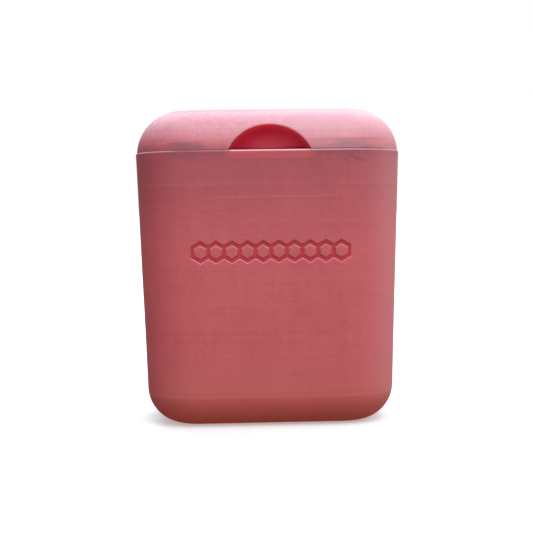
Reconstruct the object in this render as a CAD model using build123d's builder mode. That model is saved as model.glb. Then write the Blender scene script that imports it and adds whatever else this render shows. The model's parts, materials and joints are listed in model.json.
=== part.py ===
from build123d import *
import os
from math import cos, hypot, radians, sin, sqrt, tan

# Flip-top case for a block of gymnastics chalk. Millimetres, +Z up, front towards -Y.
# The origin is the centre of the base. The case is widest at the seam between its two prints.

os.makedirs("parts", exist_ok=True)

# Case
case_width = 68.8
case_depth = 46.0
case_height = 81.4
seam_height = 70.6
seam_gap = 0.06
draft_angle = 1.95
corner_radius = 16.0
base_round = 9.5
rim_round = 0.45
wall = 2.4
floor_thickness = 4.2
floor_round = 4.5

# Lid: the dome's arc starts a little under the seam, and the lid stands in from the case's rim
dome_round = 11.5
dome_drop = 0.7
lid_inset = 0.3
dome_growth = dome_round - sqrt(dome_round**2 - dome_drop**2) - lid_inset

# Thumb scoop: a drum lying along Y, whose round end stays inside the lid
scoop_radius = 11.8
scoop_drop = 5.5
scoop_end = -15.0
scoop_round = 6.0
scoop_edge = 0.35
scoop_wall = 1.6

# Magnets and the shelves that hold them
magnet_diameter = 8.0
magnet_thickness = 2.0
magnet_spacing = 42.0
magnet_y = -17.2
magnet_recess = 0.05
magnet_edge = 0.2
pocket_clearance = 0.05
pocket_depth = magnet_thickness + 0.1
shelf_back = -12.3
shelf_thickness = pocket_depth + 1.3
shelf_end = 26.3
boss_start = 16.2

# Hinge at the back
hinge_y = 25.0
hinge_width = 36.0
knuckle_count = 5
knuckle_radius = 2.6
knuckle_gap = 0.3
swing_clearance = 0.3
hinge_root = 21.6
lid_web_rise = 1.3
pin_radius = 1.0
pin_length = 35.2
pin_chamfer = 0.2
pin_fit = 0.01
pin_running_clearance = 0.06

# Chalk
chalk_width = 50.0
chalk_thickness = 27.0
chalk_height = 60.0
chalk_round = 3.0
chalk_y = 2.3
chalk_rest_gap = 0.02

# Row of linked hexagons, sunk into the front
cell_count = 10
cell_height = 5.6
cell_stroke = 0.9
motif_height = 45.0
motif_depth = 0.6
motif_edge = 0.2

# Places that follow from the sizes above
front = -case_depth / 2
lid_bottom = seam_height + seam_gap
lid_width = case_width + 2 * dome_growth
lid_depth = case_depth + 2 * dome_growth
lid_corner_radius = corner_radius + dome_growth
dome_base = seam_height - dome_drop
scoop_axis_height = seam_height - scoop_drop
magnet_places = [(-magnet_spacing / 2, magnet_y), (magnet_spacing / 2, magnet_y)]
spare = 2.0
surface_tolerance = 0.01


def drum(growth):
    """The thumb scoop's form, grown all round: a drum along Y with a rounded inner end."""
    inner_end = scoop_end + growth
    outer_end = front - spare
    radius = scoop_radius + growth
    with BuildPart() as form:
        with BuildSketch(Plane.XZ.offset(-inner_end)):
            with Locations((0, scoop_axis_height)):
                Circle(radius)
        extrude(amount=inner_end - outer_end)
        fillet(form.edges().filter_by(GeomType.CIRCLE).sort_by(Axis.Y)[-1], scoop_round + growth)
    return form.part


def shelf(x_low, x_high, rise):
    """A shelf on the front wall, sloped at 45 degrees: below the seam for rise -1, above it for 1."""
    start = seam_height if rise < 0 else lid_bottom
    length = shelf_back - front
    with BuildPart() as form:
        with BuildSketch(Plane.YZ.offset(x_low)):
            with BuildLine():
                Polyline(
                    (front, start - rise * spare),
                    (shelf_back, start - rise * spare),
                    (shelf_back, start + rise * shelf_thickness),
                    (front, start + rise * (shelf_thickness + length)),
                    close=True,
                )
            make_face()
        extrude(amount=x_high - x_low)
    return form.part


def knuckle_span(index, margin):
    """The lowest and highest x of a knuckle, with the same margin at both ends."""
    pitch = hinge_width / knuckle_count
    low = index * pitch - hinge_width / 2
    return low + margin, low + pitch - margin


def knuckle(index, web):
    """One hinge knuckle: its barrel, and the web of the given outline that joins it to its print."""
    low, high = knuckle_span(index, knuckle_gap / 2)
    with BuildPart() as form:
        with BuildSketch(Plane.YZ.offset(low)):
            with Locations((hinge_y, seam_height)):
                Circle(knuckle_radius)
            with BuildLine():
                Polyline(*web, close=True)
            make_face()
        extrude(amount=high - low)
    return form.part


def knuckle_relief(index):
    """The room that a knuckle of the other print needs to turn in."""
    low, high = knuckle_span(index, -knuckle_gap / 2)
    with BuildPart() as form:
        with BuildSketch(Plane.YZ.offset(low)):
            with Locations((hinge_y, seam_height)):
                Circle(knuckle_radius + swing_clearance)
        extrude(amount=high - low)
    return form.part


def pin_bore(radius):
    """The bore along the whole hinge."""
    with BuildPart() as form:
        with BuildSketch(Plane.YZ.offset(-hinge_width / 2 - spare)):
            with Locations((hinge_y, seam_height)):
                Circle(radius)
        extrude(amount=hinge_width + 2 * spare)
    return form.part


# Hinge webs: the case's slopes down to its back wall at 45 degrees, the lid's rises a little
tangent = knuckle_radius * cos(radians(45))
case_web = [
    (hinge_y, seam_height),
    (hinge_y + tangent, seam_height - tangent),
    (hinge_root, seam_height - 2 * tangent - hinge_y + hinge_root),
    (hinge_root, seam_height),
]
lid_web = [
    (hinge_y, lid_bottom),
    (hinge_root, lid_bottom),
    (hinge_root, seam_height + knuckle_radius + lid_web_rise),
    (hinge_y, seam_height + knuckle_radius),
]
case_knuckles = range(0, knuckle_count, 2)
lid_knuckles = range(1, knuckle_count, 2)

# Plane of the drafted front face at the height of the sunk motif, and the sizes of its hexagons
motif_plane = Plane(
    origin=(0, front + (seam_height - motif_height) * tan(radians(draft_angle)), motif_height),
    x_dir=(1, 0, 0),
    z_dir=(0, -cos(radians(draft_angle)), -sin(radians(draft_angle))),
)
cell_corner = cell_stroke / sqrt(3)
cell_radius = cell_height / 2 - cell_corner
cell_pitch = cell_radius * sqrt(3)

# Forms made ahead of the prints that they are added to or cut from
scoop = drum(0)
scoop_backing = drum(scoop_wall)
case_shelf = shelf(-shelf_end, shelf_end, -1)
left_boss = shelf(-shelf_end, -boss_start, 1)
right_boss = shelf(boss_start, shelf_end, 1)
case_hinge = [knuckle(index, case_web) for index in case_knuckles]
lid_hinge = [knuckle(index, lid_web) for index in lid_knuckles]
case_reliefs = [knuckle_relief(index) for index in lid_knuckles]
lid_reliefs = [knuckle_relief(index) for index in case_knuckles]
case_bore = pin_bore(pin_radius + pin_fit)
lid_bore = pin_bore(pin_radius + pin_running_clearance)

# Hollow of the case: drafted like the outside, with the front shelf left standing in it
with BuildPart() as case_hollow:
    with BuildSketch(Plane.XY.offset(seam_height)):
        RectangleRounded(case_width - 2 * wall, case_depth - 2 * wall, corner_radius - wall)
    extrude(amount=-(seam_height - floor_thickness), taper=draft_angle)
    fillet(case_hollow.faces().sort_by(Axis.Z)[0].edges(), floor_round)
    add(case_shelf, mode=Mode.SUBTRACT)

# Lower print: the case with its floor, front shelf, magnet pockets and three hinge knuckles
with BuildPart() as body_shell:
    with BuildSketch(Plane.XY.offset(seam_height)):
        RectangleRounded(case_width, case_depth, corner_radius)
    extrude(amount=-seam_height, taper=draft_angle)
    fillet(body_shell.faces().sort_by(Axis.Z)[0].edges(), base_round)
    fillet(body_shell.faces().sort_by(Axis.Z)[-1].edges(), rim_round)
    add(case_hollow.part, mode=Mode.SUBTRACT)
    with BuildSketch(Plane.XY.offset(seam_height)):
        with Locations(*magnet_places):
            Circle(magnet_diameter / 2 + pocket_clearance)
    extrude(amount=-pocket_depth, mode=Mode.SUBTRACT)
    with BuildSketch(motif_plane.offset(spare)):
        with GridLocations(cell_pitch, 0, cell_count, 1):
            RegularPolygon(cell_radius + cell_corner, 6, rotation=30)
        with GridLocations(cell_pitch, 0, cell_count, 1):
            RegularPolygon(cell_radius - cell_corner, 6, rotation=30, mode=Mode.SUBTRACT)
    extrude(amount=-spare - motif_depth, mode=Mode.SUBTRACT)
    on_front = [
        edge
        for edge in body_shell.edges()
        if abs(motif_plane.to_local_coords(edge.center()).Z) < surface_tolerance
        and abs(edge.center().Z - motif_height) < cell_height
        and abs(edge.center().X) < cell_pitch * cell_count
    ]
    chamfer(on_front, motif_edge)
    for relief in case_reliefs:
        add(relief, mode=Mode.SUBTRACT)
    for piece in case_hinge:
        add(piece)
    add(case_bore, mode=Mode.SUBTRACT)
body_shell.part.label = "body_shell"
export_step(body_shell.part, "parts/body_shell.step")

# Hollow of the lid, with the magnet bosses and the back of the thumb scoop left standing in it
with BuildPart() as lid_hollow:
    with BuildSketch(Plane.XY.offset(dome_base - spare)):
        RectangleRounded(lid_width - 2 * wall, lid_depth - 2 * wall, lid_corner_radius - wall)
    extrude(amount=case_height - wall - dome_base + spare)
    fillet(lid_hollow.faces().sort_by(Axis.Z)[-1].edges(), dome_round - wall)
    add(left_boss, mode=Mode.SUBTRACT)
    add(right_boss, mode=Mode.SUBTRACT)
    add(scoop_backing, mode=Mode.SUBTRACT)

# Upper print: the domed lid with its thumb scoop, magnet pockets and two hinge knuckles
with BuildPart() as lid_shell:
    with BuildSketch(Plane.XY.offset(dome_base - spare)):
        RectangleRounded(lid_width, lid_depth, lid_corner_radius)
    extrude(amount=case_height - dome_base + spare)
    fillet(lid_shell.faces().sort_by(Axis.Z)[-1].edges(), dome_round)
    add(lid_hollow.part, mode=Mode.SUBTRACT)
    split(bisect_by=Plane.XY.offset(lid_bottom), keep=Keep.TOP)
    add(scoop, mode=Mode.SUBTRACT)
    scoop_mouth = [
        edge
        for edge in lid_shell.edges().filter_by(GeomType.BSPLINE)
        if abs(hypot(edge.center().X, edge.center().Z - scoop_axis_height) - scoop_radius) < scoop_edge
        and edge.center().Y < (front + scoop_end) / 2
    ]
    fillet(scoop_mouth, scoop_edge)
    with BuildSketch(Plane.XY.offset(lid_bottom)):
        with Locations(*magnet_places):
            Circle(magnet_diameter / 2 + pocket_clearance)
    extrude(amount=pocket_depth, mode=Mode.SUBTRACT)
    for relief in lid_reliefs:
        add(relief, mode=Mode.SUBTRACT)
    for piece in lid_hinge:
        add(piece)
    add(lid_bore, mode=Mode.SUBTRACT)
lid_shell.part.label = "lid_shell"
export_step(lid_shell.part, "parts/lid_shell.step")

# Disc magnets: a pair in the case and a pair in the lid, pole to pole across the seam
for node, place, base in (
    ("body_magnet_left", magnet_places[0], seam_height - magnet_recess - magnet_thickness),
    ("body_magnet_right", magnet_places[1], seam_height - magnet_recess - magnet_thickness),
    ("lid_magnet_left", magnet_places[0], lid_bottom + magnet_recess),
    ("lid_magnet_right", magnet_places[1], lid_bottom + magnet_recess),
):
    with BuildPart() as magnet:
        with BuildSketch(Plane.XY.offset(base)):
            with Locations(place):
                Circle(magnet_diameter / 2)
        extrude(amount=magnet_thickness)
        fillet(magnet.edges().filter_by(GeomType.CIRCLE), magnet_edge)
    magnet.part.label = node
    export_step(magnet.part, f"parts/{node}.step")

# Hinge pin, through all five knuckles
with BuildPart() as hinge_pin:
    with BuildSketch(Plane.YZ.offset(-pin_length / 2)):
        with Locations((hinge_y, seam_height)):
            Circle(pin_radius)
    extrude(amount=pin_length)
    chamfer(hinge_pin.edges().filter_by(GeomType.CIRCLE), pin_chamfer)
hinge_pin.part.label = "hinge_pin"
export_step(hinge_pin.part, "parts/hinge_pin.step")

# Block of pressed magnesium carbonate, standing on the floor of the case
with BuildPart() as chalk_block:
    with BuildSketch(Plane.XY.offset(floor_thickness + chalk_rest_gap)):
        with Locations((0, chalk_y)):
            Rectangle(chalk_width, chalk_thickness)
    extrude(amount=chalk_height)
    fillet(chalk_block.edges(), chalk_round)
chalk_block.part.label = "chalk_block"
export_step(chalk_block.part, "parts/chalk_block.step")
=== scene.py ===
import json
import math

import bmesh
import bpy
from mathutils import Matrix, Vector, noise


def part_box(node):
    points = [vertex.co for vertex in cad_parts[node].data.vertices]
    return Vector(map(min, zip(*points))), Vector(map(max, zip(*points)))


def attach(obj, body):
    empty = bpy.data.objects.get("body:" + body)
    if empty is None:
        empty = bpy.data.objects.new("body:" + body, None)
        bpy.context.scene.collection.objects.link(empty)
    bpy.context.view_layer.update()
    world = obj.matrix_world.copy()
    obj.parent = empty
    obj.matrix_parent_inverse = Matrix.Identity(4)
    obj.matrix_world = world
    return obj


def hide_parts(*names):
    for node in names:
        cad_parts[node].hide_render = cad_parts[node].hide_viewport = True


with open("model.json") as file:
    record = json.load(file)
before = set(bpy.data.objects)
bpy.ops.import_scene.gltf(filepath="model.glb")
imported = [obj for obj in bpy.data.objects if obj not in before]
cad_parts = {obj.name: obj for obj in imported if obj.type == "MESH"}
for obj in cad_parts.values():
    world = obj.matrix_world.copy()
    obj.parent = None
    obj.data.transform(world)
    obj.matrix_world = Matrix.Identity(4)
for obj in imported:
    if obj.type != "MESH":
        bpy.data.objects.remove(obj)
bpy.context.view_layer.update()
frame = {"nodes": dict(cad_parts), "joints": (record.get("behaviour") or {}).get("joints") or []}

MM = 0.001

# Places read from the frame. These and all the sizes below are in millimetres. The seam is as
# high as the axis of the lid's hinge, which is the first joint.
magnet_low, magnet_high = (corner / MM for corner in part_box("lid_magnet_right"))
SEAM = frame["joints"][0]["pos_m"][2] / MM
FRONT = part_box("body_shell")[0].y / MM
LID_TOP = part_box("lid_shell")[1].z / MM
MAGNET = (magnet_low + magnet_high) / 2

# Sizes of the design that the frame doesn't hold
CASE_HALF_X = 34.4
CORNER = 16.0
DRAFT = math.radians(1.95)
BASE_ROUND = 9.5
DOME_ROUND = 11.5
DOME_DROP = 0.7
WALL = 2.4
MOTIF_HEIGHT = 45.0
MOTIF_HALF_X = 21.0
MOTIF_HALF_Z = 4.0
MOTIF_DEPTH = 0.6
SCOOP_RADIUS = 11.8
SCOOP_DROP = 5.5
SCOOP_END = -15.0
SCOOP_EDGE = 0.35
SCOOP_HALF = 10.4
RIM_ROUND = 0.45
FOOT_LINE = 8.2
SHELF_FOOT = 58.9
UPPER_LINE = SHELF_FOOT + 3.1
LAYER = 0.2
LINE_WIDTH = 0.42


class Graph:
    """The nodes of one material, with a call for each kind of step."""

    def __init__(self, name):
        self.material = bpy.data.materials.new(name)
        self.material.use_nodes = True
        self.tree = self.material.node_tree
        self.tree.nodes.clear()
        self.shader = self.tree.nodes.new("ShaderNodeBsdfPrincipled")
        output = self.tree.nodes.new("ShaderNodeOutputMaterial")
        self.tree.links.new(self.shader.outputs["BSDF"], output.inputs["Surface"])

    def node(self, kind, inputs=(), **settings):
        """A node with its settings, and its inputs given as values or as other nodes' outputs."""
        made = self.tree.nodes.new(kind)
        for key, value in settings.items():
            setattr(made, key, value)
        for key, value in dict(inputs).items():
            self.set(made.inputs[key], value)
        return made

    def set(self, socket, value):
        """Links an output to the socket, or sets the socket's own value."""
        if isinstance(value, bpy.types.NodeSocket):
            self.tree.links.new(value, socket)
        else:
            if isinstance(value, tuple):
                value = value[:len(socket.default_value)]
            socket.default_value = value

    def math(self, operation, *values):
        made = self.node("ShaderNodeMath", enumerate(values), operation=operation)
        return made.outputs[0]

    def add(self, *values):
        total = values[0]
        for value in values[1:]:
            total = self.math("ADD", total, value)
        return total

    def weighted(self, start, *terms):
        """The start plus each (value, weight) pair's product."""
        return self.add(start, *(self.times(value, weight) for value, weight in terms))

    def times(self, *values):
        product = values[0]
        for value in values[1:]:
            product = self.math("MULTIPLY", product, value)
        return product

    def less(self, a, b):
        return self.math("SUBTRACT", a, b)

    def without(self, mask):
        """1 where the mask is 0, and 0 where it is 1."""
        return self.less(1.0, mask)

    def absolute(self, value):
        """The value without its sign."""
        return self.math("ABSOLUTE", value)

    def ramp(self, value, start, end, low=0.0, high=1.0):
        """Smooth change from low at start to high at end."""
        inputs = {"Value": value, "From Min": start, "From Max": end, "To Min": low, "To Max": high}
        return self.node("ShaderNodeMapRange", inputs, interpolation_type="SMOOTHSTEP").outputs[0]

    def band(self, value, low, high, soft):
        """1 between low and high, falling to 0 over the soft width outside them."""
        rise = self.ramp(value, low - soft, low)
        fall = self.ramp(value, high, high + soft, 1.0, 0.0)
        return self.times(rise, fall)

    def place(self):
        """The surface point in millimetres, as a vector and as its x, y and z."""
        coordinates = self.node("ShaderNodeTexCoord").outputs["Object"]
        inputs = {0: coordinates, "Scale": 1 / MM}
        vector = self.node("ShaderNodeVectorMath", inputs, operation="SCALE").outputs[0]
        split = self.node("ShaderNodeSeparateXYZ", {0: vector})
        return vector, split.outputs[0], split.outputs[1], split.outputs[2]

    def stretched(self, vector, scale):
        """The vector times a different number along each axis."""
        inputs = {0: vector, 1: scale}
        return self.node("ShaderNodeVectorMath", inputs, operation="MULTIPLY").outputs[0]

    def noise(self, vector, scale, detail=2.0, rough=0.5, distortion=0.0):
        inputs = {
            "Vector": vector,
            "Scale": scale,
            "Detail": detail,
            "Roughness": rough,
            "Distortion": distortion,
        }
        return self.node("ShaderNodeTexNoise", inputs).outputs[0]

    def mix(self, factor, low, high):
        """A colour from low at factor 0 to high at factor 1."""
        made = self.node("ShaderNodeMix", data_type="RGBA")
        self.set(made.inputs["Factor"], factor)
        self.set(made.inputs[6], low)
        self.set(made.inputs[7], high)
        return made.outputs[2]

    def bright(self, colour, factor):
        """The colour made lighter or darker by a factor."""
        inputs = {0: colour, "Scale": factor}
        return self.node("ShaderNodeVectorMath", inputs, operation="SCALE").outputs[0]

    def bump(self, height, strength, distance, normal=None):
        inputs = {"Height": height, "Strength": strength, "Distance": distance * MM}
        if normal is not None:
            inputs["Normal"] = normal
        return self.node("ShaderNodeBump", inputs).outputs[0]


# Printed plastic ------------------------------------------------------------------------------

# Some of these colours are painted light and shade: the pale of upward faces, the rim's pale, the
# glow, the warm tint from below, the magnets' grey and the dark red of shade. The haze colour is a
# random pale tone and also painted highlights.
FROSTED = (0.66, 0.112, 0.130, 1)
HAZE_AND_HIGHLIGHT = (0.80, 0.50, 0.55, 1)
PAINTED_TOP_HIGHLIGHT = (0.85, 0.51, 0.61, 1)
DARKER_RED = (0.40, 0.062, 0.092, 1)
PAINTED_RIM_HIGHLIGHT = (0.98, 0.60, 0.64, 1)
GAP = (0.24, 0.035, 0.060, 1)
CLEAR = (0.80, 0.013, 0.078, 1)
PAINTED_SHADE_RED = (0.36, 0.004, 0.020, 1)
GLOWING = (0.88, 0.10, 0.145, 1)
TABLE_BOUNCE_TINT = (0.60, 0.142, 0.120, 1)
PAINTED_SHADOW_GREY = (0.250, 0.085, 0.130, 1)
DUST = (0.66, 0.62, 0.61, 1)


def depth_below(graph, x, y, half_x, half_y, radius):
    """Distance inside a rounded rectangle of the given half sizes and corner radius."""
    past_x = graph.less(graph.absolute(x), graph.less(half_x, radius))
    past_y = graph.less(graph.absolute(y), graph.less(half_y, radius))
    corner_x = graph.math("MAXIMUM", past_x, 0.0)
    corner_y = graph.math("MAXIMUM", past_y, 0.0)
    square = graph.add(graph.times(corner_x, corner_x), graph.times(corner_y, corner_y))
    outside = graph.math("SQRT", square)
    within = graph.math("MINIMUM", graph.math("MAXIMUM", past_x, past_y), 0.0)
    return graph.less(radius, graph.add(outside, within))


def rounding(graph, height, radius):
    """How far an edge round of the radius stands in, at a height above the round's start."""
    reach = graph.math("MAXIMUM", graph.math("MINIMUM", height, radius), 0.0)
    rest = graph.less(radius * radius, graph.times(reach, reach))
    return graph.less(radius, graph.math("SQRT", rest))


def strands(graph, vector, across, width):
    """Lines of extruded plastic side by side: their rounded height, and a tone for each line."""
    place = graph.math("DIVIDE", across, width)
    index = graph.math("FLOOR", place)
    middle = graph.less(graph.times(graph.less(place, index), 2.0), 1.0)
    crown = graph.less(1.0, graph.times(middle, middle))
    tone = graph.node("ShaderNodeTexWhiteNoise", {"W": index}, noise_dimensions="1D").outputs[0]
    split = graph.node("ShaderNodeSeparateXYZ", {0: graph.stretched(vector, (0.02, 0.02, 0.02))})
    inputs = {0: split.outputs[0], 1: split.outputs[1], 2: graph.times(index, 3.7)}
    along = graph.node("ShaderNodeCombineXYZ", inputs).outputs[0]
    drift = graph.noise(along, 1.0, 2.0)
    return crown, graph.add(graph.times(tone, 0.55), graph.times(drift, 0.9), -0.225)


def printed_lines(graph, vector, x, y, z, facing_up, top):
    """Height and tone of the layers' edges, or of the diagonal lines where a face is level.

    The last layer, up to the height top, is such a face too.
    """
    level = graph.ramp(graph.absolute(facing_up), 0.992, 0.996)
    in_last = graph.ramp(z, top - LAYER - 0.01, top - LAYER + 0.01)
    flat = graph.math("MAXIMUM", level, graph.times(in_last, graph.ramp(facing_up, 0.0, 0.1)))
    upright = graph.without(flat)
    wobble = graph.times(graph.less(graph.noise(vector, 0.05), 0.5), 0.12)
    layer_crown, layer_tone = strands(graph, vector, graph.add(z, wobble), LAYER)
    diagonal = graph.times(graph.add(x, y), math.sqrt(0.5))
    fill_crown, fill_tone = strands(graph, vector, diagonal, LINE_WIDTH)
    crown = graph.add(graph.times(layer_crown, upright), graph.times(fill_crown, flat, 0.8))
    tone = graph.add(graph.times(layer_tone, upright), graph.times(fill_tone, flat))
    return crown, tone


def printed_plastic(name, marks, top):
    """Translucent red filament, frosted by its layers. marks(...) gives its colours' masks."""
    graph = Graph(name)
    vector, x, y, z = graph.place()
    mask = marks(graph, vector, x, y, z)
    facing = graph.node("ShaderNodeTexCoord").outputs["Normal"]
    facing_up = graph.node("ShaderNodeSeparateXYZ", {0: facing}).outputs[2]
    crown, tone = printed_lines(graph, vector, x, y, z, facing_up, top)

    bands = graph.noise(graph.stretched(vector, (0.004, 0.004, 0.42)), 1.0, 4.0, 0.6)
    mottle = graph.noise(vector, 0.11, 4.0, 0.6)
    infill = graph.noise(graph.stretched(vector, (0.42, 0.42, 0.015)), 1.0, 2.0)
    flecks = graph.noise(vector, 0.9, 3.0, 0.6)
    shade = graph.weighted(0.695, (bands, 0.14), (mottle, 0.14), (infill, 0.12), (flecks, 0.12))
    haze = graph.weighted(-0.07, (tone, 0.06), (bands, 0.03), (mottle, 0.07), (flecks, 0.07))
    # Faces turned upwards are painted paler, a painted highlight as if lit from above, except where
    # a mask turns it off
    rising = graph.ramp(facing_up, 0.0, 0.78)
    sloping = graph.times(rising, graph.ramp(facing_up, 0.90, 1.0, 1.0, 0.5))
    highlight_tone = graph.weighted(0.30, (tone, 0.14), (flecks, 0.62))
    top_highlight = graph.times(sloping, highlight_tone, graph.without(mask["no_top_highlight"]))
    streaks = graph.noise(graph.stretched(vector, (0.025, 0.025, 2.2)), 1.0, 3.0, 0.6)
    streaked = graph.times(graph.ramp(streaks, 0.45, 0.70), mask["streaked"])

    colour = graph.bright(graph.mix(mask["darker_near_seam"], FROSTED, DARKER_RED), shade)
    for share, tint in (
        (haze, HAZE_AND_HIGHLIGHT),
        (top_highlight, PAINTED_TOP_HIGHLIGHT),
        (mask["painted_bounce"], TABLE_BOUNCE_TINT),
        (mask["clear"], CLEAR),
        (mask["painted_shade"], PAINTED_SHADE_RED),
        (mask["painted_shadow"], PAINTED_SHADOW_GREY),
        (mask["glow"], GLOWING),
        (mask["pale_and_highlight"], HAZE_AND_HIGHLIGHT),
        (streaked, DARKER_RED),
        (mask["gap"], GAP),
        (mask["rim_highlight"], PAINTED_RIM_HIGHLIGHT),
        (mask["dust"], DUST),
    ):
        colour = graph.mix(share, colour, tint)
    graph.set(graph.shader.inputs["Base Color"], colour)

    dusty, glassy = mask["dust"], mask["clear"]
    rough = graph.weighted(0.42, (tone, 0.14), (mottle, 0.08), (dusty, 0.4), (glassy, -0.12))
    graph.set(graph.shader.inputs["Roughness"], rough)

    uneven = graph.noise(graph.stretched(vector, (0.010, 0.010, 1.6)), 1.0, 4.0, 0.6)
    height = graph.weighted(graph.times(crown, 0.35), (tone, 0.9), (uneven, 1.6))
    layered = graph.bump(height, graph.less(0.55, graph.times(glassy, 0.3)), 0.02)
    grain = graph.noise(vector, 4.5, 3.0)
    graph.set(graph.shader.inputs["Normal"], graph.bump(grain, 0.14, 0.02, layered))

    graph.shader.inputs["IOR"].default_value = 1.46
    graph.shader.inputs["Specular IOR Level"].default_value = 0.9
    graph.set(graph.shader.inputs["Subsurface Weight"], graph.weighted(0.35, (glassy, 0.55)))
    graph.shader.inputs["Subsurface Radius"].default_value = (1.0, 0.18, 0.15)
    graph.shader.inputs["Subsurface Scale"].default_value = 3.2 * MM
    return graph.material


def magnet_painted_shadow(graph, vector, x, y, z, low, high):
    """Patchy painted shadows of the two magnets through the front wall, in a band of heights."""
    reach, fade, wall_depth = 2.6, 3.4, 3.0
    near = graph.band(graph.absolute(x), MAGNET.x - reach, MAGNET.x + reach, fade)
    wall_side = graph.ramp(y, MAGNET.y - wall_depth, MAGNET.y, 1.0, 0.0)
    patches = graph.noise(graph.stretched(vector, (0.16, 0.16, 0.9)), 1.0, 4.0, 0.6)
    patchy = graph.ramp(patches, 0.3, 0.7, 0.2, 1.0)
    return graph.times(near, graph.band(z, low, high, 1.1), wall_side, patchy)


def powder(graph, vector, amount):
    """Chalk dust: a thin even coat, with drifts, rubbed places and specks."""
    drifts = graph.ramp(graph.noise(vector, 0.22, 6.0, 0.62), 0.36, 0.72, 0.25, 0.9)
    specks = graph.ramp(graph.noise(vector, 2.2, 4.0, 0.7), 0.52, 0.66)
    coat = graph.math("MAXIMUM", drifts, graph.times(specks, 0.8))
    return graph.math("MINIMUM", graph.math("MAXIMUM", graph.times(coat, amount), 0.0), 0.9)


def inside_shell(graph, depth, curve):
    """1 on the inner faces of a shell, whose outer face stands in by the curve of its round."""
    return graph.ramp(graph.less(depth, curve), WALL - 1.0, WALL - 0.4)


# How much of each mark's colour a place takes at most, from 0 to 1
BODY_SHARE = {
    "darker_near_seam": 0.66,
    "darker_at_rim": 0.30,
    "streaked_low": 0.05,
    "streaked_high": 0.30,
    "no_top_highlight_rim": 0.75,
    "no_top_highlight_motif_edge": 0.5,
    "clear": 0.66,
    "painted_shade": 0.16,
    "painted_shadow": 0.50,
    "glow": 0.42,
    "painted_bounce": 0.75,
    "foot_line": 0.085,
    "shelf_line": 0.09,
    "upper_line": 0.06,
    "wear_and_highlight": 0.13,
    "specks": 0.45,
    "notch_rim_highlight": 0.9,
    "right_rim_highlight": 0.22,
    "clean_rim": 0.36,
}
LID_SHARE = {
    "darker_near_seam": 0.58,
    "streaked_low": 0.55,
    "streaked_high": 0.05,
    "painted_shade": 0.9,
    "painted_shadow": 0.82,
    "shade_at_top": 0.15,
    "glow": 0.50,
    "highlight_low": 0.25,
    "highlight_high": 0.37,
    "sheen": 0.15,
    "thin_edge": 0.05,
    "scoop_edge": 0.45,
    "gap": 0.65,
    "dust": 0.6,
}


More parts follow.
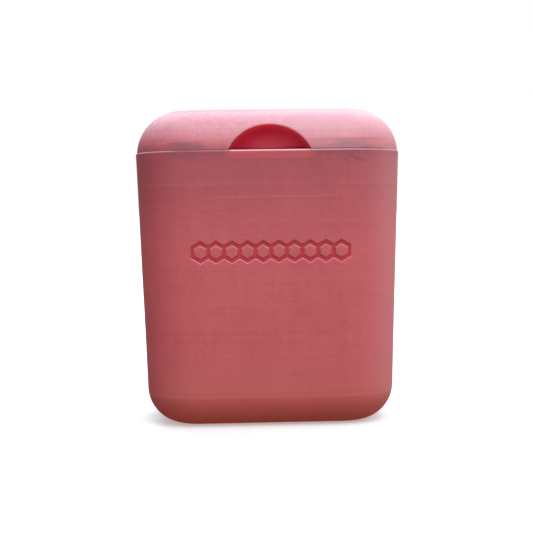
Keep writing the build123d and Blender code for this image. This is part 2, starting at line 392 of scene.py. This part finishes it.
def body_marks(graph, vector, x, y, z):
    """Masks of the lower print, by name."""
    share = BODY_SHARE
    across = graph.absolute(x)
    near_front = graph.ramp(graph.less(y, FRONT), 0.6, 1.6, 1.0, 0.0)
    drawn_in = graph.times(graph.less(SEAM, z), math.tan(DRAFT))
    half_x = graph.less(CASE_HALF_X, drawn_in)
    half_y = graph.less(-FRONT, drawn_in)
    depth = depth_below(graph, x, y, half_x, half_y, graph.less(CORNER, drawn_in))

    # The plastic is darker towards the seam, except in the middle under the open notch, which has a
    # painted glow of light through the ledge
    middle = graph.ramp(across, SCOOP_HALF - 1.0, SCOOP_HALF + 2.0, 1.0, 0.0)
    beside = graph.times(graph.without(middle), graph.ramp(x, -30.0, -24.0))
    at_rim = graph.times(graph.ramp(z, SEAM - 2.6, SEAM - 0.8), beside, share["darker_at_rim"])
    rising = graph.ramp(z, SHELF_FOOT - 16.0, SEAM - 1.0, 0.0, share["darker_near_seam"])
    glow = graph.times(graph.ramp(z, SEAM - 3.0, SEAM - 0.4), middle, near_front, share["glow"])

    # The sunk motif, with painted shade in its grooves
    motif = graph.times(
        graph.band(x, -MOTIF_HALF_X, MOTIF_HALF_X, 0.2),
        graph.band(z, MOTIF_HEIGHT - MOTIF_HALF_Z, MOTIF_HEIGHT + MOTIF_HALF_Z, 0.2),
        graph.ramp(y, FRONT + WALL, FRONT + WALL + 0.5, 1.0, 0.0),
    )
    sunk = graph.times(graph.band(depth, 0.35, MOTIF_DEPTH + 0.2, 0.15), motif)
    sunk_edge = graph.times(graph.band(depth, 0.05, 0.3, 0.05), motif)

    # Pale layers where the sections inside change, and a painted highlight towards the right edge
    uneven = graph.noise(graph.stretched(vector, (0.03, 0.03, 0.5)), 1.0, 2.0)
    patches = graph.ramp(uneven, 0.42, 0.56)
    foot_line = graph.band(z, FOOT_LINE - 0.1, FOOT_LINE + 0.1, 0.5)
    shelf_line = graph.times(graph.band(z, SHELF_FOOT - 0.1, SHELF_FOOT + 0.1, 0.15), patches)
    upper_line = graph.times(graph.band(z, UPPER_LINE, UPPER_LINE + 0.1, 0.15), patches)
    pale_and_highlight = graph.weighted(
        graph.times(foot_line, share["foot_line"]),
        (shelf_line, share["shelf_line"]),
        (upper_line, share["upper_line"]),
        (graph.ramp(x, CASE_HALF_X - 16.0, CASE_HALF_X), share["wear_and_highlight"]),
    )

    # The rim's round: a painted highlight in the notch and a little on the right. The rim's left
    # and the motif's edges get none of the painted highlight of upward faces
    rim = graph.ramp(z, SEAM - RIM_ROUND + 0.03, SEAM - RIM_ROUND + 0.18)
    on_round = graph.ramp(depth, RIM_ROUND * 0.6, RIM_ROUND, 1.0, 0.0)
    in_notch = graph.ramp(across, SCOOP_HALF - 1.0, SCOOP_HALF, 1.0, 0.0)
    left = graph.times(graph.band(x, -MAGNET.x - 6.0, -SCOOP_HALF, 1.5), near_front)
    right = graph.ramp(x, SCOOP_HALF - 1.0, SCOOP_HALF)
    rim_highlight = graph.times(
        graph.weighted(0.0, (in_notch, share["notch_rim_highlight"]), (right, share["right_rim_highlight"])),
        on_round,
        rim,
        near_front,
    )
    no_top_highlight = graph.weighted(
        0.0,
        (graph.times(rim, left), share["no_top_highlight_rim"]),
        (sunk_edge, share["no_top_highlight_motif_edge"]),
    )

    # Specks under the right magnet
    dots = graph.noise(graph.stretched(vector, (0.5, 0.5, 0.7)), 1.0, 3.0, 0.6)
    under_magnet = graph.times(
        graph.band(x, MAGNET.x - 1.5, MAGNET.x + 3.5, 2.0),
        graph.ramp(z, SEAM - 4.4, SEAM - 2.6),
    )
    specks = graph.times(
        graph.ramp(dots, 0.50, 0.64),
        under_magnet,
        near_front,
        graph.without(rim),
        share["specks"],
    )

    # Dust on the inner faces, which fingers keep off the rim
    inside = inside_shell(graph, depth, rounding(graph, graph.less(BASE_ROUND, z), BASE_ROUND))
    above_floor = graph.ramp(z, 2.6, 3.4)
    settled = graph.ramp(z, 4.0, 60.0, 1.0, 0.5)
    clean_rim = graph.times(graph.ramp(z, SEAM - 0.2, SEAM - 0.05), share["clean_rim"])
    dusty = graph.less(graph.times(inside, above_floor, settled), clean_rim)

    # Painted shadows of the magnets just below the seam
    painted_shadow = magnet_painted_shadow(graph, vector, x, y, z, SEAM - 1.6, SEAM - 0.4)
    return {
        "darker_near_seam": graph.add(rising, at_rim),
        "streaked": graph.ramp(z, SEAM - 10.0, SEAM, share["streaked_low"], share["streaked_high"]),
        "no_top_highlight": no_top_highlight,
        "clear": graph.times(sunk, share["clear"]),
        "painted_shade": graph.times(sunk, share["painted_shade"]),
        "painted_shadow": graph.times(painted_shadow, share["painted_shadow"]),
        "glow": glow,
        # Painted warm light bounced up from below, fading upwards
        "painted_bounce": graph.ramp(z, 3.0, 22.0, share["painted_bounce"], 0.0),
        "pale_and_highlight": pale_and_highlight,
        "gap": specks,
        "rim_highlight": rim_highlight,
        "dust": powder(graph, vector, dusty),
    }


def lid_marks(graph, vector, x, y, z):
    """Masks of the lid, by name."""
    share = LID_SHARE
    front_face = graph.ramp(y, FRONT + 3.5, FRONT + 6.0, 1.0, 0.0)
    right_side = graph.ramp(x, 0.0, SCOOP_HALF)
    away_right = graph.ramp(x, CASE_HALF_X - 11.0, CASE_HALF_X - 3.0, 1.0, 0.1)

    # The thumb scoop, a smooth drum across the front: clear, with painted shade at its foot, a soft
    # painted sheen, a painted glow near its arc and a painted highlight along the arc
    above_axis = graph.less(z, SEAM - SCOOP_DROP)
    square = graph.add(graph.times(x, x), graph.times(above_axis, above_axis))
    from_axis = graph.math("SQRT", square)
    in_drum = graph.ramp(from_axis, SCOOP_RADIUS - 0.05, SCOOP_RADIUS + 0.10, 1.0, 0.0)
    in_front = graph.ramp(y, SCOOP_END + 0.2, SCOOP_END + 0.6, 1.0, 0.0)
    clear = graph.times(in_drum, in_front)
    outside = graph.without(clear)
    foot = graph.ramp(z, SEAM + 0.45, SEAM + 1.1, share["painted_shade"], 0.0)
    painted_shade = graph.times(clear, foot)
    aside = graph.math("DIVIDE", graph.less(x, 1.5), 8.5)
    above = graph.math("DIVIDE", graph.less(z, SEAM + 1.2), 3.4)
    spread = graph.add(graph.times(aside, aside), graph.times(above, above))
    sheen = graph.ramp(spread, 0.0, 1.0, share["sheen"], 0.0)
    # Near the scoop's arc: a painted glow of light through the thin lid, and a little painted
    # highlight
    thin_edge = graph.times(clear, graph.ramp(from_axis, SCOOP_RADIUS - 1.2, SCOOP_RADIUS))
    scoop_edge = graph.band(from_axis, SCOOP_RADIUS + 0.15, SCOOP_RADIUS + SCOOP_EDGE, 0.06)

    # Painted highlights: a haze on the right, and the scoop's sheen, thin edge and arc
    hazy = graph.times(graph.ramp(x, -4.0, 14.0), graph.ramp(x, 20.0, 28.0, 1.0, 0.75))
    wear_and_highlight = graph.ramp(z, SEAM + 1.0, SEAM + 7.0, share["highlight_low"], share["highlight_high"])
    pale_and_highlight = graph.weighted(
        graph.times(hazy, outside, wear_and_highlight),
        (graph.times(sheen, clear), graph.without(painted_shade)),
        (thin_edge, share["thin_edge"]),
        (graph.times(scoop_edge, front_face), share["scoop_edge"]),
    )

    # The magnets' painted shadows, a little taller on the right, and a painted grey shade along the
    # top
    taller = graph.ramp(x, -5.0, 5.0, 1.0, 0.88)
    lowered = graph.add(SEAM, graph.times(graph.less(z, SEAM), taller))
    painted_shadow = magnet_painted_shadow(graph, vector, x, y, lowered, SEAM, SEAM + 1.5)
    grey_top = graph.ramp(z, LID_TOP - 1.4, LID_TOP - 0.4, 0.0, share["shade_at_top"])

    # The dark line just above the seam, on the right and at the magnets
    at_gap = graph.times(graph.ramp(z, SEAM + 0.22, SEAM + 0.34, 1.0, 0.0), outside)
    dark = graph.math("MAXIMUM", right_side, graph.times(painted_shadow, 1.3))

    # Darker layers near the seam, more so on the right
    low_down = graph.ramp(z, SEAM + 1.0, SEAM + 6.0, share["streaked_low"], share["streaked_high"])
    more_right = graph.ramp(x, 0.0, SCOOP_HALF, 0.9, 1.5)

    # Dust on the inner faces
    depth = depth_below(graph, x, y, CASE_HALF_X, -FRONT, CORNER)
    dome = rounding(graph, graph.less(z, SEAM - DOME_DROP), DOME_ROUND)
    below_top = graph.ramp(z, LID_TOP - 1.6, LID_TOP - 0.8, 1.0, 0.0)
    dusty = graph.times(inside_shell(graph, depth, dome), below_top, outside, share["dust"])
    return {
        "darker_near_seam": graph.times(graph.ramp(z, SEAM, SEAM + 3.0, share["darker_near_seam"], 0.0), away_right),
        "streaked": graph.times(low_down, more_right, away_right, outside),
        "no_top_highlight": 0.0,
        "clear": clear,
        "painted_shade": painted_shade,
        "painted_shadow": graph.weighted(grey_top, (painted_shadow, share["painted_shadow"])),
        "glow": graph.times(thin_edge, share["glow"]),
        "painted_bounce": 0.0,
        "pale_and_highlight": pale_and_highlight,
        "gap": graph.times(at_gap, front_face, dark, share["gap"]),
        "rim_highlight": 0.0,
        "dust": powder(graph, vector, dusty),
    }


# Nickel, steel and chalk ----------------------------------------------------------------------

def nickel(name):
    """Plated magnets: bright, with rubbed patches and fine scratches."""
    graph = Graph(name)
    vector = graph.place()[0]
    wear_and_highlight = graph.noise(vector, 0.5, 4.0, 0.6)
    scratches = graph.noise(graph.stretched(vector, (1.2, 9.0, 1.0)), 1.0, 3.0, 0.7)
    worn_tone = graph.ramp(wear_and_highlight, 0.3, 0.7, 0.62, 1.05)
    tone = graph.add(worn_tone, graph.times(scratches, 0.3), -0.15)
    graph.set(graph.shader.inputs["Base Color"], graph.bright((0.33, 0.32, 0.30), tone))
    rough = graph.weighted(0.20, (wear_and_highlight, 0.22), (scratches, 0.12))
    graph.set(graph.shader.inputs["Roughness"], rough)
    graph.set(graph.shader.inputs["Normal"], graph.bump(scratches, 0.12, 0.01))
    graph.shader.inputs["Metallic"].default_value = 1.0
    return graph.material


def steel(name):
    """Drawn steel wire: fine lines along its length."""
    graph = Graph(name)
    vector = graph.place()[0]
    drawn = graph.noise(graph.stretched(vector, (0.15, 7.0, 7.0)), 1.0, 4.0, 0.6)
    stains = graph.noise(vector, 0.6, 3.0)
    tone = graph.weighted(0.72, (drawn, 0.25), (stains, 0.2))
    graph.set(graph.shader.inputs["Base Color"], graph.bright((0.45, 0.45, 0.46), tone))
    graph.set(graph.shader.inputs["Roughness"], graph.weighted(0.26, (drawn, 0.2)))
    graph.set(graph.shader.inputs["Normal"], graph.bump(drawn, 0.2, 0.01))
    graph.shader.inputs["Metallic"].default_value = 1.0
    return graph.material


CHALK_WHITE = (0.62, 0.615, 0.60)
CHALK_PORE = (0.46, 0.45, 0.44, 1)


def pressed_chalk(name):
    """Magnesium carbonate: dry white powder, pressed, with paler clouds and faint grey pores."""
    graph = Graph(name)
    vector = graph.place()[0]
    cloud = graph.noise(vector, 0.07, 4.0, 0.55)
    grain = graph.noise(vector, 1.6, 6.0, 0.7)
    pores = graph.ramp(graph.noise(vector, 0.9, 5.0, 0.7), 0.32, 0.42, 1.0, 0.0)
    tone = graph.weighted(0.88, (cloud, 0.12), (grain, 0.10))
    white = graph.bright(CHALK_WHITE, tone)
    colour = graph.mix(graph.times(pores, 0.35), white, CHALK_PORE)
    graph.set(graph.shader.inputs["Base Color"], colour)
    graph.shader.inputs["Roughness"].default_value = 0.95
    graph.shader.inputs["Specular IOR Level"].default_value = 0.2
    graph.shader.inputs["Sheen Weight"].default_value = 0.15
    graph.shader.inputs["Sheen Roughness"].default_value = 0.6
    height = graph.weighted(grain, (pores, -0.7))
    graph.set(graph.shader.inputs["Normal"], graph.bump(height, 0.6, 0.12))
    return graph.material


def give(node, material):
    """Puts the material on a CAD node in place of its packed one."""
    data = frame["nodes"][node].data
    data.materials.clear()
    data.materials.append(material)


# Chalk block ----------------------------------------------------------------------------------

CHALK_ROUND = 3.0
CHALK_STEP = 0.75

# How deep each kind of wear goes, in millimetres
RUBBED_OFF = 0.20
SWELL = 0.18
GRIT = 0.07
PIT = 0.55
CHIP = 1.7
BROKEN_CORNER = 2.6
WORN_TOP = 1.5
LEAST_WEAR = 0.05


def smooth(value, start, end):
    """Smooth change from 0 at start to 1 at end."""
    share = min(max((value - start) / (end - start), 0.0), 1.0)
    return share * share * (3 - 2 * share)


def patches(point, frequency, offset, start, end):
    """0 to 1 in patches, from a noise that rises through start to end."""
    return smooth(noise.noise(point * frequency + Vector(offset)), start, end)


def worn(point, half):
    """A point of the sharp block moved onto the used one: rounded, rubbed, chipped and pitted."""
    core = Vector(min(max(c, -(h - CHALK_ROUND)), h - CHALK_ROUND) for c, h in zip(point, half))
    away = point - core
    out = away.normalized()
    surface = core + out * CHALK_ROUND
    past = sorted(abs(c) for c in away)
    edge = smooth(past[1], 0.2, 1.6)
    corner = smooth(past[0], 0.2, 1.4)
    swell = RUBBED_OFF + SWELL * noise.noise(point * 0.07)
    grit = GRIT * noise.fractal(point * 0.55, 0.8, 2.1, 4)
    pit = PIT * patches(point, 0.33, (7.0, 3.0, 1.0), 0.38, 0.62)
    chip = CHIP * edge * patches(point, 0.16, (2.0, 9.0, 4.0), 0.12, 0.42)
    broken = BROKEN_CORNER * corner * patches(point, 0.09, (5.0, 1.0, 8.0), -0.1, 0.4)
    across = (point.x / half.x) ** 2 + (point.y / half.y) ** 2
    dished = WORN_TOP * smooth(out.z, 0.6, 1.0) * smooth(across, 1.2, 0.0)
    wear = max(LEAST_WEAR, swell + grit + pit + chip + broken)
    return surface - out * wear - Vector((0, 0, dished))


def make_chalk():
    """The block as it is after some use, inside the plain CAD one."""
    low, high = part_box("chalk_block")
    centre, half = (low + high) / 2 / MM, (high - low) / 2 / MM
    mesh = bmesh.new()
    counts = [max(2, round(2 * h / CHALK_STEP)) for h in half]
    found = {}

    def vertex(point):
        key = tuple(round(c, 4) for c in point)
        if key not in found:
            moved = worn(Vector(point), half) + centre
            found[key] = mesh.verts.new(moved * MM)
        return found[key]

    for axis in range(3):
        u, v = (axis + 1) % 3, (axis + 2) % 3
        for side in (-1, 1):
            for i in range(counts[u]):
                for j in range(counts[v]):
                    corners = []
                    for du, dv in ((0, 0), (1, 0), (1, 1), (0, 1)):
                        point = [0.0, 0.0, 0.0]
                        point[axis] = side * half[axis]
                        point[u] = half[u] * (2 * (i + du) / counts[u] - 1)
                        point[v] = half[v] * (2 * (j + dv) / counts[v] - 1)
                        corners.append(vertex(point))
                    mesh.faces.new(corners if side > 0 else corners[::-1])
    for face in mesh.faces:
        face.smooth = True
    data = bpy.data.meshes.new("used_chalk")
    mesh.to_mesh(data)
    mesh.free()
    piece = bpy.data.objects.new("used_chalk", data)
    bpy.context.scene.collection.objects.link(piece)
    data.materials.append(pressed_chalk("pressed_chalk"))
    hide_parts("chalk_block")
    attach(piece, "chalk")


give("body_shell", printed_plastic("body_print", body_marks, SEAM))
give("lid_shell", printed_plastic("lid_print", lid_marks, LID_TOP))
magnet_nickel = nickel("magnet_nickel")
for magnet in ("body_magnet_left", "body_magnet_right", "lid_magnet_left", "lid_magnet_right"):
    give(magnet, magnet_nickel)
give("hinge_pin", steel("pin_steel"))
make_chalk()


# Camera ---------------------------------------------------------------------------------------

def make_camera():
    """A long lens a little left of the middle and above it, turned back to the object."""
    data = bpy.data.cameras.new("camera")
    data.sensor_width = 36.0
    data.lens = 80.5
    data.clip_start = 0.01
    data.clip_end = 50.0
    camera = bpy.data.objects.new("camera", data)
    bpy.context.scene.collection.objects.link(camera)
    camera.location = (-0.0127, -0.321, 0.0559)
    right = Vector((0.99913, -0.03909, -0.01447))
    up = Vector((0.01635, 0.04825, 0.99870))
    axes = Matrix((right, up, right.cross(up)))
    camera.rotation_mode = "QUATERNION"
    camera.rotation_quaternion = axes.transposed().to_quaternion()
    bpy.context.scene.camera = camera


make_camera()


# Stage and light ------------------------------------------------------------------------------

FLOOR_SIZE = 12.0
FLOOR_DROP = 0.02 * MM
LIT_POINT = Vector((0, 0, 0.07))


def make_floor():
    """Plain pale paper just under the object, brighter away from it."""
    mesh = bpy.data.meshes.new("floor")
    sides = ((-1, -1), (1, -1), (1, 1), (-1, 1))
    corners = [(FLOOR_SIZE * u, FLOOR_SIZE * v, -FLOOR_DROP) for u, v in sides]
    mesh.from_pydata(corners, [], [(0, 1, 2, 3)])
    floor = bpy.data.objects.new("floor", mesh)
    bpy.context.scene.collection.objects.link(floor)
    graph = Graph("floor_paper")
    vector = graph.place()[0]
    inputs = {0: vector}
    distance = graph.node("ShaderNodeVectorMath", inputs, operation="LENGTH").outputs["Value"]
    glow = graph.ramp(distance, 60.0, 300.0, 0.33, 0.8)
    graph.shader.inputs["Base Color"].default_value = (0.82, 0.90, 0.89, 1)
    graph.shader.inputs["Roughness"].default_value = 0.9
    graph.shader.inputs["Specular IOR Level"].default_value = 0.0
    graph.shader.inputs["Emission Color"].default_value = (1, 1, 1, 1)
    graph.set(graph.shader.inputs["Emission Strength"], glow)
    mesh.materials.append(graph.material)
    floor.visible_diffuse = False
    floor.visible_glossy = False


def make_light(name, location, size, power, colour=(1, 1, 1)):
    """A soft rectangle of light, turned to the middle of the lid."""
    data = bpy.data.lights.new(name, "AREA")
    data.shape = "RECTANGLE"
    data.size, data.size_y = size
    data.energy = power
    data.color = colour
    light = bpy.data.objects.new(name, data)
    bpy.context.scene.collection.objects.link(light)
    light.location = location
    light.rotation_mode = "QUATERNION"
    light.rotation_quaternion = (LIT_POINT - light.location).to_track_quat("-Z", "Y")


# Directions in the studio, and its colours
UP = (0, 0, 1)
RIGHT_AND_FRONT = (0.9, -0.43, 0)
HIGH_BEHIND = (0, 0.94, 0.34)
TABLE, TABLE_EDGE = (0.27, 0.11, 0.055), (0.47, 0.33, 0.28)
WALL_WHITE, CEILING = (0.98, 0.965, 0.99), (0.68, 0.68, 0.72)
DARK, GREY = (0.25, 0.26, 0.28), (0.45, 0.46, 0.48)
BRIGHT, SOFT = (1.04, 1.04, 1.06), (0.97, 0.98, 1.0)
PLAIN, DIMMED = (1.0, 1.0, 1.0), (0.72, 0.72, 0.74)


def make_world():
    """Studio surroundings: a pale room above, darker on the left, and a dim warm table below.

    The camera sees plain white in their place.
    """
    world = bpy.data.worlds.new("studio")
    bpy.context.scene.world = world
    world.use_nodes = True
    tree = world.node_tree
    tree.nodes.clear()
    output = tree.nodes.new("ShaderNodeOutputWorld")
    background = tree.nodes.new("ShaderNodeBackground")
    tree.links.new(background.outputs[0], output.inputs["Surface"])
    coordinates = tree.nodes.new("ShaderNodeTexCoord")

    def ramp(towards, stops):
        """Colours by how much a direction points towards the given one, from -1 to 1."""
        along = tree.nodes.new("ShaderNodeVectorMath")
        along.operation = "DOT_PRODUCT"
        along.inputs[1].default_value = Vector(towards).normalized()
        tree.links.new(coordinates.outputs["Generated"], along.inputs[0])
        turned = tree.nodes.new("ShaderNodeMapRange")
        turned.inputs["From Min"].default_value = -1
        tree.links.new(along.outputs["Value"], turned.inputs["Value"])
        made = tree.nodes.new("ShaderNodeValToRGB")
        tree.links.new(turned.outputs[0], made.inputs["Fac"])
        elements = made.color_ramp.elements
        while len(elements) < len(stops):
            elements.new(0.5)
        for element, (height, colour) in zip(elements, stops):
            element.position = (height + 1) / 2
            element.color = (*colour, 1)
        return made.outputs["Color"]

    def mix(blend, factor, low, high):
        made = tree.nodes.new("ShaderNodeMix")
        made.data_type = "RGBA"
        made.blend_type = blend
        for key, value in (("Factor", factor), (6, low), (7, high)):
            if isinstance(value, bpy.types.NodeSocket):
                tree.links.new(value, made.inputs[key])
            else:
                made.inputs[key].default_value = value
        return made.outputs[2]

    height = ramp(UP, [(-0.5, TABLE), (-0.12, TABLE_EDGE), (0.1, WALL_WHITE), (0.8, CEILING)])
    side_stops = [(-0.95, DARK), (-0.72, GREY), (-0.4, BRIGHT), (0.3, BRIGHT), (0.9, SOFT)]
    side = ramp(RIGHT_AND_FRONT, side_stops)
    behind = ramp(HIGH_BEHIND, [(0.70, PLAIN), (0.93, DIMMED)])
    light = mix("MULTIPLY", 1.0, mix("MULTIPLY", 1.0, height, side), behind)
    path = tree.nodes.new("ShaderNodeLightPath")
    seen = mix("MIX", path.outputs["Is Camera Ray"], light, (1, 1, 1, 1))
    tree.links.new(seen, background.inputs["Color"])


WARM_WHITE = (1.0, 0.97, 1.0)
make_floor()
make_world()
make_light("back_top", (0.0, 0.30, 0.42), (0.6, 0.3), 1.85, WARM_WHITE)
make_light("front_top", (0.08, -0.30, 0.42), (0.3, 0.3), 0.85, WARM_WHITE)
make_light("right_rim", (0.5, 0.05, 0.12), (0.3, 0.5), 0.34)
bpy.context.scene.view_settings.view_transform = "Standard"
